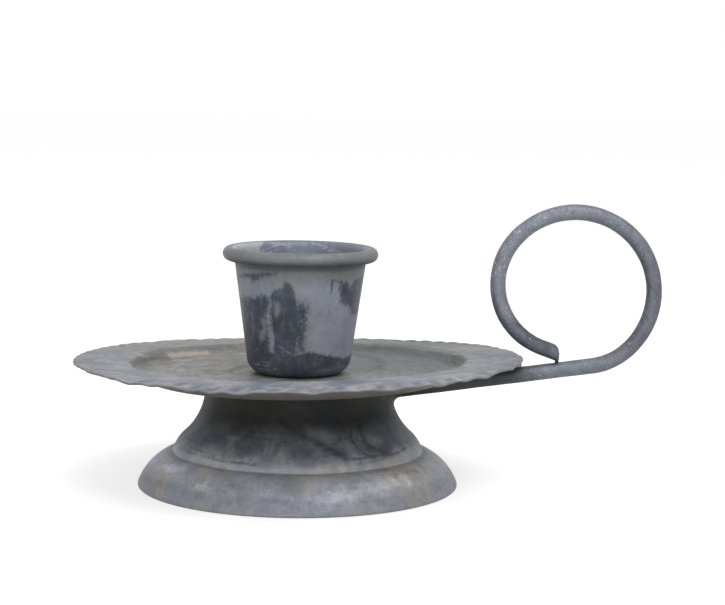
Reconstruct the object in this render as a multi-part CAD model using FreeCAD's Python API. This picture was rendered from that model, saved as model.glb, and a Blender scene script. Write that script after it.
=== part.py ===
import FreeCAD, Part
import math
import os

# Candle holder: a spun foot, a dished drip plate with a crimped rim, a tapered cup with a
# rolled lip, and a bent rod handle that ends in a finger ring. One screw holds the cup,
# the plate and the foot together, and braze holds the handle.
# Lengths are in millimetres and angles in degrees, +Z is up and the handle points along +X.
# The origin is the centre of the circle that the foot stands on.

V = FreeCAD.Vector

# Foot, a spun sheet shell open below: radii and heights of its outer face
FOOT_SHEET = 1.0
FOOT_RADIUS = 42.9
FOOT_HEIGHT = 29.45
FOOT_EDGE = 0.5
BELL_RADIUS = 12.7
CREASE_RADIUS = 34.5
CREASE_HEIGHT = 8.7
NECK_RADIUS = 24.85
NECK_SWEEP_DROP = 2.55

# Where the neck's arc meets the shoulder's, as shares of the way from the neck to the crease
SWEEP_WIDTH_SHARE = 0.611
SWEEP_HEIGHT_SHARE = 0.723

# Drip plate, a pressed sheet dish: widths and rises of its upper face
PLATE_SHEET = 0.7
RIM_RADIUS = 60.0
RIM_RISE = 0.3
BRIM_WIDTH = 15.0
CREST_BEND = 1.5
WELL_WALL_WIDTH = 3.2
WELL_DEPTH = 3.2
WELL_BEND = 3.0
FLUTE_COUNT = 72
FLUTE_LENGTH = 6.0
FLUTE_DEPTH = 0.6
SCALLOP_DEPTH = 0.5
FLUTE_POINTS = 2

# How use has bent the plate: the handle has pushed its side up from a little past the foot's
# neck outwards, the well's wall stands higher at the front, and the rim curls up at both sides
FLAT_REACH = 7.15
HANDLE_LIFT = 0.7
FRONT_LIFT = 1.8
SIDE_CURL = 0.75

# Strips that each straight or round stretch of the plate's section is drawn in
RING_STEPS = 3

# Candle cup: radii of its inner face, and its rolled lip
CUP_SHEET = 0.7
CUP_HEIGHT = 33.6
CUP_FLOOR_RADIUS = 12.75
CUP_BEND = 4.0
LIP_ROLL_RADIUS = 1.8
LIP_REACH = 20.7
LIP_ROLL_ANGLE = 300.0

# Handle, one bent rod in the plane of the axis
ROD_RADIUS = 2.13
ROD_SLOPE = 7.75
ROD_GAP = 0.15
RIM_OVERHANG = 18.4
START_INSET = 3.9
START_ANGLE = 36.5
RING_RADIUS = 21.2
RING_ANGLE = 184.0
RETURN_INSET = 3.0
RETURN_ANGLE = 106.8
TIP_GAP = 0.1
TIP_FACE_ANGLE = 16.0
TIP_ROUND = 0.5

# Braze at the neck and at the tip of the rod
BRAZE_LEG = 2.6
BRAZE_ROOT = 0.9
TIP_BRAZE_RADIUS = 1.3

# Fixing: a slotted pan head screw, its washer and its hexagon nut
SCREW_RADIUS = 2.0
SCREW_LENGTH = 8.2
HEAD_RADIUS = 4.0
HEAD_HEIGHT = 2.4
HEAD_EDGE = 1.2
SLOT_WIDTH = 1.2
SLOT_DEPTH = 1.1
HOLE_CLEARANCE = 0.25
WASHER_RADIUS = 4.5
WASHER_THICKNESS = 0.8
NUT_FLATS = 7.0
NUT_HEIGHT = 3.2
NUT_CHAMFER = 0.4
THREAD_CLEARANCE = 0.05
NUT_SIDES = 6

# How far a cutting solid runs past what it cuts
OVERRUN = 5.0

# Heights and radii that follow
HOLE_RADIUS = SCREW_RADIUS + HOLE_CLEARANCE
FLOOR_HEIGHT = FOOT_HEIGHT + PLATE_SHEET
CREST_HEIGHT = FLOOR_HEIGHT + WELL_DEPTH
CREST_RADIUS = RIM_RADIUS - BRIM_WIDTH
WELL_RADIUS = CREST_RADIUS - WELL_WALL_WIDTH
FLAT_RADIUS = NECK_RADIUS + FLAT_REACH
FLOOR_RADIUS = WELL_RADIUS - WELL_BEND * math.tan(math.atan2(WELL_DEPTH, WELL_WALL_WIDTH) / 2)
RIM_HEIGHT = CREST_HEIGHT + RIM_RISE
CUP_FLOOR_HEIGHT = FLOOR_HEIGHT + CUP_SHEET
RUN_REACH = RIM_RADIUS + RIM_OVERHANG
START_RADIUS = RING_RADIUS - START_INSET
RETURN_RADIUS = RING_RADIUS - RETURN_INSET
RING_BENDS = (
    (START_RADIUS, START_ANGLE),
    (RING_RADIUS, RING_ANGLE),
    (RETURN_RADIUS, RETURN_ANGLE),
)


def at(radius, height):
    """A point of the section plane, the half plane y = 0 where the sections are drawn."""
    return V(radius, 0, height)


def heading(degrees):
    """The unit direction in the section plane at an angle above +X."""
    angle = math.radians(degrees)
    return V(math.cos(angle), 0, math.sin(angle))


def line(start, end):
    return Part.LineSegment(start, end).toShape()


def arc_about(centre, radius, first, last):
    """Arc in the section plane between two angles, through the angle half way."""
    angles = (first, (first + last) / 2, last)
    return Part.Arc(*[centre + heading(angle) * radius for angle in angles]).toShape()


def arc_between(start, end, radius):
    """The short arc of a radius that bulges to the right hand of its way from start to end."""
    chord = end - start
    half = chord.Length / 2
    along = chord.normalize()
    right = V(along.z, 0, -along.x)
    rise = radius - math.sqrt(radius ** 2 - half ** 2)
    return Part.Arc(start, (start + end) / 2 + right * rise, end).toShape()


def bend(before, corner, after, radius):
    """The first, middle and last points of the round that takes off a corner."""
    back = (before - corner).normalize()
    on = (after - corner).normalize()
    half = back.getAngle(on) / 2
    middle = (back + on).normalize()
    setback = radius / math.tan(half)
    apex = corner + middle * (radius / math.sin(half) - radius)
    return corner + back * setback, apex, corner + on * setback


def rounded(points, radii):
    """Straight runs through the points, with a round of the given radius at each inner one."""
    edges = []
    here = points[0]
    for before, corner, after, radius in zip(points, points[1:], points[2:], radii):
        first, apex, last = bend(before, corner, after, radius)
        edges += [line(here, first), Part.Arc(first, apex, last).toShape()]
        here = last
    return edges + [line(here, points[-1])]


def turned(face):
    """The solid that a section makes when it is turned once about the axis."""
    return face.revolve(V(0, 0, 0), V(0, 0, 1), 360)


def sheet(edges, thickness):
    """Section of a sheet whose drawn face is a path, with its thickness below that face."""
    path = Part.Wire(edges)
    sides = [path.makeOffset2D(side * thickness, 0, True, True) for side in (1, -1)]
    return min(sides, key=lambda face: face.CenterOfMass.z)


def foot_outline():
    """Outer face of the foot from its lower edge to the axis: bell, crease, shoulder, neck, top.
    The neck's arc starts upright, and its end leans by twice what its chord does. The shoulder's
    arc goes on at that lean, so its radius is its chord over twice the sine of what it turns."""
    base = at(FOOT_RADIUS, 0)
    bell = at(FOOT_RADIUS, FOOT_EDGE)
    crease = at(CREASE_RADIUS, CREASE_HEIGHT)
    throat = at(NECK_RADIUS, FOOT_HEIGHT - NECK_SWEEP_DROP)
    width = (CREASE_RADIUS - NECK_RADIUS) * SWEEP_WIDTH_SHARE
    drop = (throat.z - CREASE_HEIGHT) * SWEEP_HEIGHT_SHARE
    meeting = throat + V(width, 0, -drop)
    neck_radius = (width ** 2 + drop ** 2) / (2 * width)
    shoulder = crease - meeting
    turn = 2 * math.atan2(width, drop) - math.atan2(shoulder.x, -shoulder.z)
    shoulder_radius = shoulder.Length / (2 * math.sin(turn))
    neck_top = at(NECK_RADIUS, FOOT_HEIGHT)
    return [
        line(base, bell),
        arc_between(bell, crease, BELL_RADIUS),
        arc_between(crease, meeting, shoulder_radius),
        arc_between(throat, meeting, neck_radius),
        line(throat, neck_top),
        line(neck_top, at(HOLE_RADIUS, FOOT_HEIGHT)),
    ]


def foot_shell():
    return turned(sheet(foot_outline(), FOOT_SHEET))


def foot_body():
    """The foot filled to the axis, which shapes what fits against its outside."""
    middle = [at(HOLE_RADIUS, FOOT_HEIGHT), at(0, FOOT_HEIGHT), at(0, 0), at(FOOT_RADIUS, 0)]
    closing = [line(start, end) for start, end in zip(middle, middle[1:])]
    return turned(Part.Face(Part.Wire(foot_outline() + closing)))


def bent_share(radius, start):
    """Share of a bend that the plate has taken at a radius: none up to the start, all from the
    crest outwards, and an easing curve between them."""
    share = min(max((radius - start) / (CREST_RADIUS - start), 0), 1)
    return share ** 2 * (3 - 2 * share)


def plate_lift(radius, angle):
    """How far the plate is bent up at a place: towards the handle from the flat floor outwards,
    towards the front over the well's wall, and at both sides from the crest to the rim."""
    handle = HANDLE_LIFT * math.cos(angle) * bent_share(radius, FLAT_RADIUS)
    front = -FRONT_LIFT * math.sin(angle) * bent_share(radius, FLOOR_RADIUS)
    sides = SIDE_CURL * math.cos(2 * angle) * max(radius - CREST_RADIUS, 0) / BRIM_WIDTH
    return handle + front + sides


def plate_stretches():
    """Upper face of the plate's section from the flat floor to the rim: floor, bend, well wall,
    crest, brim and flutes."""
    fluted = at(RIM_RADIUS - FLUTE_LENGTH, RIM_HEIGHT - RIM_RISE * FLUTE_LENGTH / BRIM_WIDTH)
    corners = [
        at(FLAT_RADIUS, FLOOR_HEIGHT),
        at(WELL_RADIUS, FLOOR_HEIGHT),
        at(CREST_RADIUS, CREST_HEIGHT),
        fluted,
    ]
    return rounded(corners, [WELL_BEND, CREST_BEND]) + [line(fluted, at(RIM_RADIUS, RIM_HEIGHT))]


def plate_ring(place, depth):
    """Closed smooth curve round the plate at a depth below a place of its section, bent by use.
    Past the start of the flutes it has a lower, drawn-in trough in each of them."""
    fluted = max(place.x - RIM_RADIUS + FLUTE_LENGTH, 0) / FLUTE_LENGTH
    count = FLUTE_COUNT * FLUTE_POINTS
    points = []
    for step in range(count):
        angle = 2 * math.pi * step / count
        trough = fluted * (1 - math.cos(FLUTE_COUNT * angle)) / 2
        radius = place.x + depth.x - SCALLOP_DEPTH * trough
        height = place.z + depth.z + plate_lift(place.x, angle) - FLUTE_DEPTH * trough
        points.append(V(radius * math.cos(angle), radius * math.sin(angle), height))
    ring = Part.BSplineCurve()
    ring.interpolate(Points=points, PeriodicFlag=True, Parameters=list(range(count + 1)))
    return ring.toShape()


def plate_skin(thickness):
    """Rings and faces of the plate at a depth through its sheet: smooth over each bend, and in
    ruled strips over each straight stretch."""
    skin_rings = []
    faces = []
    for edge in plate_stretches():
        first, last = edge.ParameterRange
        rings = []
        for step in range(RING_STEPS + 1):
            value = first + (last - first) * step / RING_STEPS
            along = edge.tangentAt(value)
            rings.append(plate_ring(edge.valueAt(value), V(along.z, 0, -along.x) * thickness))
        if isinstance(edge.Curve, Part.Circle):
            faces += Part.makeLoft([Part.Wire(ring) for ring in rings], False, False).Faces
        else:
            faces += [Part.makeRuledSurface(*pair) for pair in zip(rings, rings[1:])]
        skin_rings += rings
    return skin_rings, faces


def drip_plate():
    """The dish between its upper and lower skin, closed at the rim and over the flat floor, and
    pierced for the screw."""
    upper, upper_faces = plate_skin(0)
    lower, lower_faces = plate_skin(PLATE_SHEET)
    floors = [Part.Face(Part.Wire(rings[0])) for rings in (upper, lower)]
    rim = Part.makeRuledSurface(upper[-1], lower[-1])
    shell = Part.makeShell(upper_faces + lower_faces + floors + [rim])
    shell.sewShape()
    hole = Part.makeCylinder(HOLE_RADIUS, FLOOR_HEIGHT)
    return Part.Solid(shell).cut(hole)


def cup_path():
    """Inner face of the cup, from the screw's hole up the wall and round the rolled lip."""
    roll = at(LIP_REACH - LIP_ROLL_RADIUS, FLOOR_HEIGHT + CUP_HEIGHT - LIP_ROLL_RADIUS)
    corner = at(CUP_FLOOR_RADIUS, CUP_FLOOR_HEIGHT)
    lean = roll - corner
    slope = math.degrees(math.atan2(lean.z, lean.x) + math.asin(LIP_ROLL_RADIUS / lean.Length))
    tangent = roll + heading(slope + 90) * LIP_ROLL_RADIUS
    wall = rounded([at(HOLE_RADIUS, CUP_FLOOR_HEIGHT), corner, tangent], [CUP_BEND])
    lip = arc_about(roll, LIP_ROLL_RADIUS, slope + 90, slope + 90 - LIP_ROLL_ANGLE)
    return wall + [lip]


def candle_cup():
    return turned(sheet(cup_path(), CUP_SHEET))


def run_axis(reach):
    """Point of the handle's straight axis at a distance out from the candlestick's axis. The rod
    stands a gap below the plate where its floor ends."""
    slope = math.radians(ROD_SLOPE)
    height = FOOT_HEIGHT + plate_lift(FLOOR_RADIUS, 0) - ROD_GAP - ROD_RADIUS / math.cos(slope)
    return at(reach, height + (reach - FLOOR_RADIUS) * math.tan(slope))


def straight_rod(start, end):
    along = end - start
    return Part.makeCylinder(ROD_RADIUS, along.Length, start, along)


def bent_rod(centre, radius, first, last):
    """Round rod bent about a centre in the section plane, from one angle to another."""
    out = heading(first)
    start = centre + out * radius
    section = Part.Face(Part.Wire(Part.makeCircle(ROD_RADIUS, start, heading(first + 90))))
    return section.revolve(centre, V(0, -1, 0), last - first)


def ring_bends():
    """The three bends of the finger ring, each as its centre, radius, first and last angle."""
    first = ROD_SLOPE - 90
    here = run_axis(RUN_REACH)
    bends = []
    for radius, angle in RING_BENDS:
        centre = here - heading(first) * radius
        last = first + angle
        bends.append((centre, radius, first, last))
        here = centre + heading(last) * radius
        first = last
    return bends


def last_stretch():
    """Start of the rod's last straight stretch, its course, and the lowest point of the rod's
    end, which stops just above its own straight run."""
    centre, radius, first, last = ring_bends()[-1]
    course = last + 90
    start = centre + heading(last) * radius
    under = start + heading(last) * ROD_RADIUS
    above = heading(ROD_SLOPE + 90)
    height = (under - run_axis(RUN_REACH)).dot(above)
    travel = (ROD_RADIUS + TIP_GAP - height) / heading(course).dot(above)
    return start, course, under + heading(course) * travel


def ring_handle():
    """Rod from the neck, out under the brim, round the ring and back to its own run."""
    start, course, tip = last_stretch()
    past = start + heading(course) * ((tip - start).Length + ROD_RADIUS)
    end = straight_rod(start, past).cut(tip_cutter(tip))
    face = max(end.Faces, key=lambda face: face.CenterOfMass.x)
    pieces = [bent_rod(*places) for places in ring_bends()]
    pieces.append(end.makeFillet(TIP_ROUND, face.Edges))
    run = straight_rod(run_axis(0), run_axis(RUN_REACH)).cut(foot_body())
    return run.multiFuse(pieces).removeSplitter()


def tip_cutter(tip):
    """Block that takes the rod off along its slanting end face."""
    side = 2 * (2 * ROD_RADIUS + OVERRUN)
    block = Part.makeBox(side, side, side, V(0, -side / 2, -side / 2))
    block.rotate(V(0, 0, 0), V(0, 1, 0), TIP_FACE_ANGLE)
    block.translate(tip)
    return block


def handle_braze():
    """Hollow fillet of braze round the rod's root, against the neck and under the plate."""
    root = run_axis(NECK_RADIUS)
    along = heading(ROD_SLOPE)
    out = heading(ROD_SLOPE - 90)
    toe = root + along * BRAZE_LEG + out * ROD_RADIUS
    heel = root + out * (ROD_RADIUS + BRAZE_LEG)
    back = heel - along * BRAZE_ROOT
    corners = [toe, heel, back, root - along * BRAZE_ROOT, root + along * BRAZE_LEG, toe]
    edges = [line(start, end) for start, end in zip(corners[1:], corners[2:])]
    edges.append(arc_between(heel, toe, BRAZE_LEG))
    collar = Part.Face(Part.Wire(Part.__sortEdges__(edges))).revolve(root, along, 360)
    rod = straight_rod(run_axis(0), run_axis(RUN_REACH))
    side = 2 * (NECK_RADIUS + OVERRUN)
    above = Part.makeBox(side, side, side, V(0, -side / 2, FOOT_HEIGHT))
    return collar.cut(foot_body().fuse([rod, above]))


def ring_tip_braze():
    """Drop of braze in the crevice between the rod's end and its run."""
    drop = Part.makeSphere(TIP_BRAZE_RADIUS, last_stretch()[-1])
    return drop.cut(ring_handle())


def fixing_screw():
    """Slotted pan head screw, with its head on the cup's floor and its end below the nut."""
    head = CUP_FLOOR_HEIGHT
    top = at(0, head + HEAD_HEIGHT)
    edge = at(HEAD_RADIUS, head + HEAD_EDGE)
    dome = (HEAD_RADIUS ** 2 + (HEAD_HEIGHT - HEAD_EDGE) ** 2) / (2 * (HEAD_HEIGHT - HEAD_EDGE))
    end = head - SCREW_LENGTH
    corners = [edge, at(HEAD_RADIUS, head), at(SCREW_RADIUS, head), at(SCREW_RADIUS, end), at(0, end), top]
    edges = [arc_between(edge, top, dome)]
    edges += [line(start, finish) for start, finish in zip(corners, corners[1:])]
    screw = turned(Part.Face(Part.Wire(Part.__sortEdges__(edges))))
    length = 2 * (HEAD_RADIUS + OVERRUN)
    corner = V(-length / 2, -SLOT_WIDTH / 2, head + HEAD_HEIGHT - SLOT_DEPTH)
    return screw.cut(Part.makeBox(length, SLOT_WIDTH, HEAD_HEIGHT, corner))


def washer_top():
    return FOOT_HEIGHT - FOOT_SHEET


def fixing_washer():
    base = V(0, 0, washer_top() - WASHER_THICKNESS)
    disc = Part.makeCylinder(WASHER_RADIUS, WASHER_THICKNESS, base)
    return disc.cut(Part.makeCylinder(HOLE_RADIUS, WASHER_THICKNESS, base))


def fixing_nut():
    """Hexagon nut under the washer, with its corners turned off at both ends."""
    base = washer_top() - WASHER_THICKNESS - NUT_HEIGHT
    corner_radius = NUT_FLATS / 2 / math.cos(math.pi / NUT_SIDES)
    corners = []
    for side in range(NUT_SIDES + 1):
        angle = 2 * math.pi * side / NUT_SIDES
        corners.append(V(corner_radius * math.cos(angle), corner_radius * math.sin(angle), base))
    hexagon = Part.Face(Part.makePolygon(corners)).extrude(V(0, 0, NUT_HEIGHT))
    flat_radius = NUT_FLATS / 2
    blank = [
        at(0, base),
        at(flat_radius, base),
        at(corner_radius, base + NUT_CHAMFER),
        at(corner_radius, base + NUT_HEIGHT - NUT_CHAMFER),
        at(flat_radius, base + NUT_HEIGHT),
        at(0, base + NUT_HEIGHT),
        at(0, base),
    ]
    barrel = turned(Part.Face(Part.makePolygon(blank)))
    bore = Part.makeCylinder(SCREW_RADIUS + THREAD_CLEARANCE, NUT_HEIGHT, V(0, 0, base))
    return hexagon.common(barrel).cut(bore)


PIECES = {
    "foot_shell": foot_shell,
    "drip_plate": drip_plate,
    "candle_cup": candle_cup,
    "ring_handle": ring_handle,
    "handle_braze": handle_braze,
    "ring_tip_braze": ring_tip_braze,
    "fixing_screw": fixing_screw,
    "fixing_washer": fixing_washer,
    "fixing_nut": fixing_nut,
}

os.makedirs("parts", exist_ok=True)
for name, make in PIECES.items():
    shape = make()
    print(name, shape.ShapeType, len(shape.Solids), shape.isValid(), round(shape.Volume, 1))
    shape.exportStep("parts/" + name + ".step")
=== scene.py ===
import math

import bmesh
import bpy
import numpy as np
from mathutils import Matrix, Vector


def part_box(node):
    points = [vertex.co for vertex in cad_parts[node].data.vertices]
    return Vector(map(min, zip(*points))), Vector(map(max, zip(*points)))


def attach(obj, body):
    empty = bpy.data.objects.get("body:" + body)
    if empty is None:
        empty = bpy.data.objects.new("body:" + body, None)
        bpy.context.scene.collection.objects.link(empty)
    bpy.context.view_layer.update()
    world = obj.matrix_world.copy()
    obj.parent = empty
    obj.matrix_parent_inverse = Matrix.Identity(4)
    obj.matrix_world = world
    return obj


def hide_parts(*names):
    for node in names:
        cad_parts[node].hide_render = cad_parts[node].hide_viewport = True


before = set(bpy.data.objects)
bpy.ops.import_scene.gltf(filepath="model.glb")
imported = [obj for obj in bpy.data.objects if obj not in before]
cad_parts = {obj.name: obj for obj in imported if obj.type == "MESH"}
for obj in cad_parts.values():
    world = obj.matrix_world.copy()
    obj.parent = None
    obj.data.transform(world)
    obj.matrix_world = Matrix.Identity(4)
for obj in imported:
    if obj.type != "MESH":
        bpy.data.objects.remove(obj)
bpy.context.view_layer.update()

# Lengths are in millimetres up to the meshes, which are in metres. The origin is the centre
# of the circle that the foot stands on, +Z is up and the handle points along +X.
MM = 0.001


def node_box(node):
    """Lowest and highest corners of a node, in millimetres."""
    return [np.array(corner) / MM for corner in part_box(node)]


FOOT_BOX = node_box("foot_shell")
CUP_BOX = node_box("candle_cup")
SCREW_BOX = node_box("fixing_screw")
WASHER_BOX = node_box("fixing_washer")
NUT_BOX = node_box("fixing_nut")

# Foot: its outer face
FOOT_SHEET = 1.0
FOOT_RADIUS = FOOT_BOX[1][0]
FOOT_TOP = FOOT_BOX[1][2]
FOOT_EDGE = 0.5
BELL_RADIUS = 14.2
CREASE = np.array((33.5, 9.3))
NECK_RADIUS = 24.85
THROAT = np.array((NECK_RADIUS, FOOT_TOP - 2.55))
SWEEP_SHARES = np.array((0.682, 0.748))
NECK_BEND = 1.3

# Drip plate: its upper face, and the crimps of its edge
PLATE_SHEET = 0.7
PLATE_FLOOR = FOOT_TOP + PLATE_SHEET
FLAT_RADIUS = 32.0
WELL_RADIUS = 41.8
WELL_BEND = 3.0
CREST_RADIUS = 45.0
CREST_HEIGHT = PLATE_FLOOR + 3.2
CREST_BEND = 2.6
RIM_RADIUS = 60.0
RIM_HEIGHT = CREST_HEIGHT + 0.3
FLUTES = 72
FLUTE_START = 54.5
FLUTE_DEPTH = 0.5
HOLE_RADIUS = 2.25
FLOOR_BEND_ANGLE = math.atan2(CREST_HEIGHT - PLATE_FLOOR, CREST_RADIUS - WELL_RADIUS)
FLOOR_RADIUS = WELL_RADIUS - WELL_BEND * math.tan(FLOOR_BEND_ANGLE / 2)

# How use has bent the plate: up towards the handle and the front, its rim up at both sides and
# a little at the front and back, and its edge drawn in
HANDLE_LIFT = 0.7
FRONT_LIFT = 1.8
SIDE_CURL = 0.75
RIM_TWIST = 0.12
FRONT_CURL = 0.35
BACK_CURL = 0.2
DRAWN_IN = 0.08
DRAWN_BETWEEN = 0.12
PLATE_SHIFT = 0.04

# Candle cup: its inner face, its rolled lip, and how it leans
CUP_SHEET = 0.7
CUP_FLOOR = CUP_BOX[0][2] + CUP_SHEET
CUP_FLOOR_RADIUS = 12.75
CUP_BEND = 3.8
ROLL_RADIUS = 1.8
ROLL_CENTRE = np.array((CUP_BOX[1][0], CUP_BOX[1][2])) - ROLL_RADIUS
ROLL_ANGLE = 300.0
CUP_LEAN = 0.009
LIP_LIFT = 0.12
LIP_TILT = 0.006

# Handle: its straight run, the three bends of its ring as radius and angle, and its tip
ROD_RADIUS = 2.13
ROD_SLOPE = 7.75
ROD_RISE = math.tan(math.radians(ROD_SLOPE))
ROD_ROOT = 24.3
ROD_GAP = 0.15
RUN_REACH = 78.4
RING_BENDS = ((17.3, 36.5), (21.2, 184.0), (18.2, 112.0))
TIP_GAP = 0.04
TIP_FACE = -6.0
TIP_ROUND = 0.12
TIP_CROWN = 1.9

# Braze at the neck and how deep it sinks into neck and rod, and the drop under the rod's tip:
# half its size, and its place off the tip
BRAZE_LEG = 2.6
BRAZE_SUNK = (0.5, 0.4)
DROP_SIZE = (0.55, 0.88, 0.4)
DROP_PLACE = (-0.35, 0.05)

# Fixing
SHANK_RADIUS = 2.0
HEAD_HEIGHT = 2.4
HEAD_EDGE = 1.2
SLOT_WIDTH = 1.2
SLOT_DEPTH = 1.1
THREAD_PITCH = 0.7
THREAD_DEPTH = 0.3
END_BEVEL = 0.4
WASHER_EDGE = 0.15
NUT_PLAY = 0.05

# Columns of each turned mesh, and of the rod
FOOT_AROUND = 432
PLATE_AROUND = FLUTES * 9
CUP_AROUND = 384
FIXING_AROUND = 96
SHANK_AROUND = 48
ROD_AROUND = 36


# Profiles: paths of (radius, height) points in the half plane of the axis. Each sheet is drawn
# from its outer edge inwards, so its thickness lies on the left hand of the path.

def heading(degrees):
    """Unit vector at an angle."""
    angle = math.radians(degrees)
    return np.array((math.cos(angle), math.sin(angle)))


def straight(start, end, count):
    """Points spread evenly from start to end."""
    share = np.linspace(0, 1, count)[:, None]
    return np.array(start) * (1 - share) + np.array(end) * share


def arc(centre, radius, first, last, count):
    """Points on a circle from one angle to another, in degrees."""
    angle = np.radians(np.linspace(first, last, count))[:, None]
    return np.array(centre) + radius * np.concatenate([np.cos(angle), np.sin(angle)], 1)


def short_arc(centre, radius, start, end, count):
    """Points the short way round a circle."""
    first, last = [math.degrees(math.atan2(*(place - centre)[::-1])) for place in (start, end)]
    return arc(centre, radius, first, last - 360 * round((last - first) / 360), count)


def arc_to(start, end, radius, count):
    """Points on the short arc of a radius that bulges to the right hand of the way."""
    along = (end - start) / 2
    half = np.linalg.norm(along)
    right = np.array((along[1], -along[0])) / half
    centre = start + along - right * math.sqrt(radius ** 2 - half ** 2)
    return short_arc(centre, radius, start, end, count)


def rounded(points, radii, steps, bend_count):
    """Straight runs of points a step apart, with a round at each inner corner, whose centre lies
    on the corner's bisector at the radius over the sine of half the corner's angle."""
    points = [np.array(point, float) for point in points]
    pieces = []
    here = points[0]
    for before, corner, after, radius, step in zip(points, points[1:], points[2:], radii, steps):
        back = (before - corner) / np.linalg.norm(before - corner)
        on = (after - corner) / np.linalg.norm(after - corner)
        half = math.acos(back @ on) / 2
        centre = corner + (back + on) / np.linalg.norm(back + on) * radius / math.sin(half)
        ends = [corner + way * radius / math.tan(half) for way in (back, on)]
        count = max(2, round(np.linalg.norm(ends[0] - here) / step))
        pieces += [straight(here, ends[0], count)[:-1], short_arc(centre, radius, *ends, bend_count)[:-1]]
        here = ends[1]
    count = max(2, round(np.linalg.norm(points[-1] - here) / steps[-1]))
    return np.concatenate(pieces + [straight(here, points[-1], count)])


def joined(*paths):
    """One path from several whose ends meet."""
    return np.concatenate([path[:-1] for path in paths[:-1]] + [paths[-1]])


def running_length(path):
    """Each point's distance from the first one, along the path."""
    return np.concatenate([[0], np.cumsum(np.linalg.norm(np.diff(path, axis=0), axis=1))])


def sheet_section(path, thickness, skip=1):
    """Closed section of a sheet: the path, a half round end, the path moved by the thickness to
    its left, of which one point in skip is kept, and a half round end back. The second list says
    which face a point is on: 1 for the path, 0 for its other side, and between them round the
    last end."""
    along = np.gradient(path, axis=0)
    along /= np.linalg.norm(along, axis=1)[:, None]
    left = np.stack([-along[:, 1], along[:, 0]], 1)
    length = running_length(path)
    half = thickness / 2
    turn = np.radians(np.linspace(0, 180, 7))[1:-1, None]
    middle = path + left * half
    far = middle[-1] + half * (along[-1] * (np.sin(turn) - 1) - left[-1] * np.cos(turn))
    near = middle[0] + half * (along[0] * (1 - np.sin(turn)) + left[0] * np.cos(turn))
    inner = (length > half * 1.1) & (length < length[-1] - half * 1.1)
    other = (path + left * thickness)[inner][::-skip]
    face = [np.ones(inner.sum() + len(far)), np.zeros(len(other)), np.linspace(0, 1, len(near))]
    return np.concatenate([path[inner], far, other, near]), np.concatenate(face)


# Meshes

def smooth(low, high, value):
    """0 below low, 1 above high, and 3 t t - 2 t t t between them."""
    t = np.clip((value - low) / (high - low), 0, 1)
    return t * t * (3 - 2 * t)


def uneven(seed, a, s, waves, size):
    """Hand-made unevenness: a sum of sine waves round the axis, whose seeded phases drift with
    the length s along the section."""
    random = np.random.default_rng(seed)
    total = np.zeros_like(a)
    for count in waves:
        phase, drift, share = random.uniform(0, 2 * np.pi), random.uniform(-0.2, 0.2), random.uniform(0.4, 1)
        total = total + share * np.sin(count * a + phase + s * drift)
    return total * size / len(waves) ** 0.5


def circle(count):
    """Angles spread evenly once round."""
    return np.linspace(0, 2 * np.pi, count, endpoint=False)


def unit_grid(rows, columns):
    """UV places spread evenly over the unit square."""
    return np.stack(np.meshgrid(np.linspace(0, 1, rows), np.linspace(0, 1, columns), indexing="ij"), -1)


def round_axis(r, a, z):
    """The point at a distance from the axis, an angle and a height: r cos a, r sin a, z."""
    return np.stack([r * np.cos(a), r * np.sin(a), z], -1)


def patch(points, uv, closed=False, **values):
    """A grid of points in millimetres that closes on itself from column to column and, where
    closed, from row to row, with its UV places and further values at its points."""
    values = {name: np.broadcast_to(value, points.shape[:2]) for name, value in values.items()}
    return {"points": points, "uv": uv, "closed": closed, "values": values}


def turned(section, face, around, shape):
    """A section turned about the axis, after the shape function has moved r and z by angle a,
    running length s and face. Rows follow the section and columns go round from the back."""
    length = running_length(np.concatenate([section, section[:1]]))
    angle = np.pi / 2 + np.linspace(0, 2 * np.pi, around + 1)
    r, a = np.meshgrid(section[:, 0], angle[:-1], indexing="ij")
    z, s, side = [np.broadcast_to(value[:, None], r.shape) for value in (section[:, 1], length[:-1], face)]
    r, z, extra = shape(r, z, a, s, side)
    uv = np.stack(np.meshgrid(length / 100, (angle - np.pi / 2) / (2 * np.pi), indexing="ij")[::-1], -1)
    return patch(round_axis(r, a, z), uv, True, face=side, **extra)


def quads_of(grid):
    """Corner numbers and UV places of a patch's quads, turned so that they face outwards."""
    points, uv = grid["points"], grid["uv"]
    rows, columns = points.shape[:2]
    last = rows if grid["closed"] else rows - 1
    row, column = np.meshgrid(np.arange(last), np.arange(columns), indexing="ij")
    ring = [(row, column), (row, column + 1), (row + 1, column + 1), (row + 1, column)]
    quad = np.stack([r % rows * columns + c % columns for r, c in ring], -1).reshape(-1, 4)
    place = np.stack([uv[r, c] for r, c in ring], 2).reshape(-1, 4, 2)
    a, b, c, d = [points.reshape(-1, 3)[quad[:, corner]] for corner in range(4)]
    volume = np.sum(a * np.cross(b, c)) + np.sum(a * np.cross(c, d))
    return (quad, place) if volume > 0 else (quad[:, ::-1], place[:, ::-1])


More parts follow.
